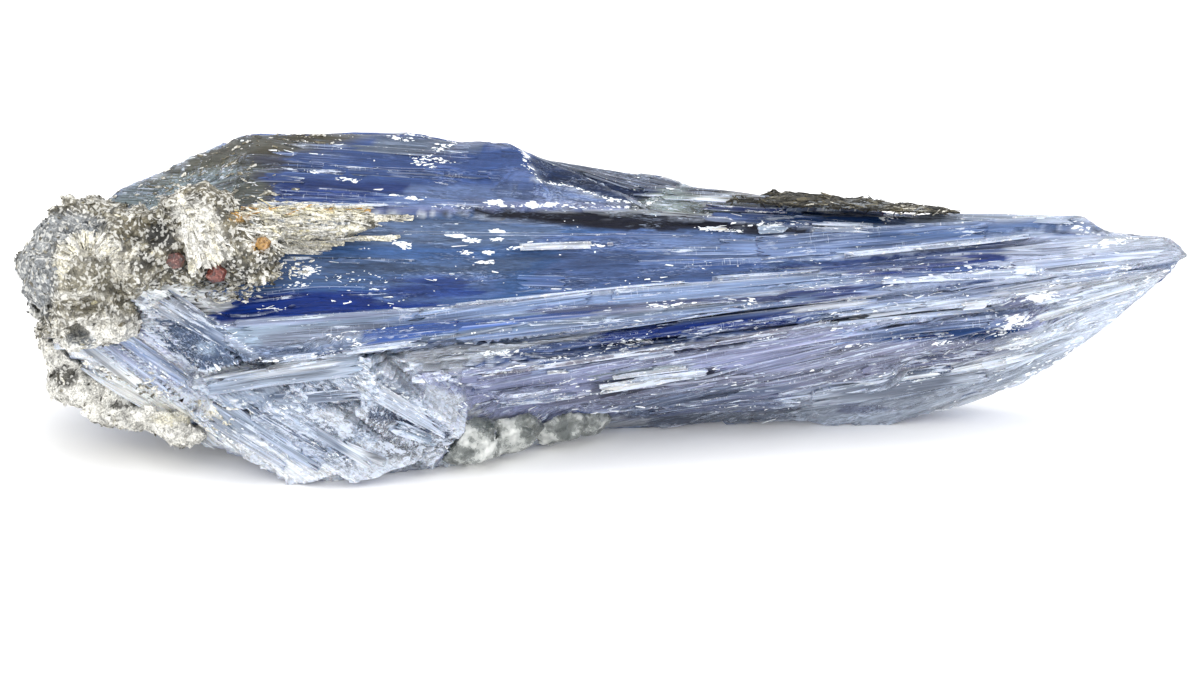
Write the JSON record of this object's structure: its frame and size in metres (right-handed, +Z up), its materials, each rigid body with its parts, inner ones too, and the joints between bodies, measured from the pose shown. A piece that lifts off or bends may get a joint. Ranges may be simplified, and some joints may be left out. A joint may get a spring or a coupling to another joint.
{
  "type": "kyanite blade cluster",
  "caption": "Fan of grown-together blue kyanite blades lying on its side, with a mica schist end, a quartz seam, a dark mica rind and small garnets.",
  "frame": {"origin": "centre of the specimen's box on the surface it rests on", "axes": "+X along the blades, from the mica end to the tip; +Y from the display face to the far side; +Z up"},
  "size_m": [0.1163, 0.0386, 0.0299],
  "materials": {
    "kyanite": "pearly, streaked blue",
    "mica": "glittering, grey and white",
    "rind": "dull, dark olive brown",
    "quartz": "glassy, greenish grey",
    "garnet": "glossy, dark red",
    "rust": "dull, rusty orange"
  },
  "bodies": {
    "root": {"kyanite_blades": "kyanite", "mica_matrix": "mica", "dark_mica_rind": "rind", "quartz_seam": "quartz", "garnet_upper": "garnet", "garnet_lower": "garnet", "garnet_rusty": "rust"}
  },
  "joints": []
}
